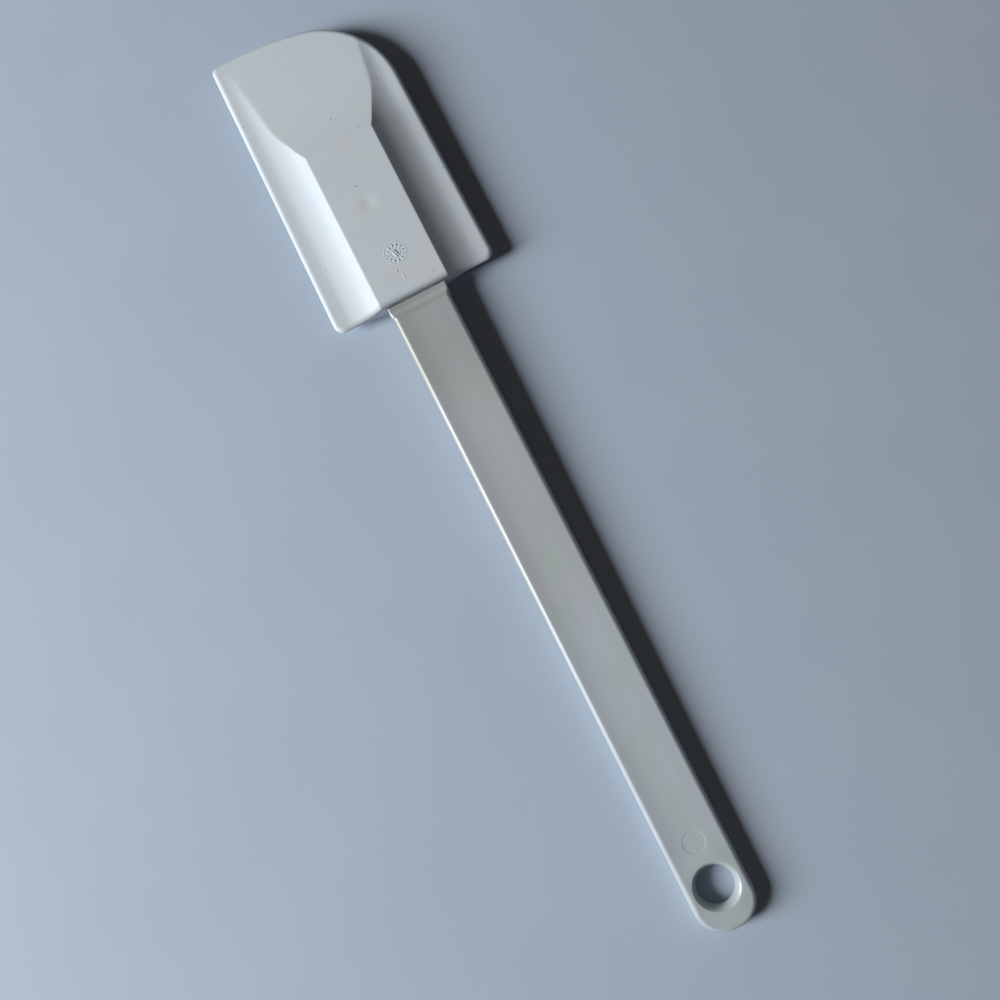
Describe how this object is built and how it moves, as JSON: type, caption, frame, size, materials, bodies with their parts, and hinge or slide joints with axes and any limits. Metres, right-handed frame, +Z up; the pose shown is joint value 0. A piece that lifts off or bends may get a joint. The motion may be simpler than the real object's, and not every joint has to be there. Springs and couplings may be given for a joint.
{
  "type": "rubber spatula",
  "caption": "Rubber spatula: a soft scraping blade with one square and one swept corner and a thick flat core, on the tang of a long flat handle with a hanging hole.",
  "frame": {"origin": "on the surface that the spatula lies on, under the middle of its overall length and of its width", "axes": "+X from the handle's free end to the blade's tip, +Y to the side of the blade's square tip corner, +Z up"},
  "size_m": [0.343, 0.0612, 0.0127],
  "materials": {
    "handle_plastic": "hard off-white moulded plastic, satin, with soft highlights along its rounded edges",
    "blade_rubber": "soft white elastomer, satin, almost matt"
  },
  "bodies": {
    "handle": {"handle": "handle_plastic"},
    "blade": {"blade": "blade_rubber"}
  },
  "joints": [
    {"name": "blade_pull_off", "type": "slide", "parent": "handle", "child": "blade", "axis": [0.9999, 0, 0.0127], "range_m": [0, 0.06]}
  ]
}
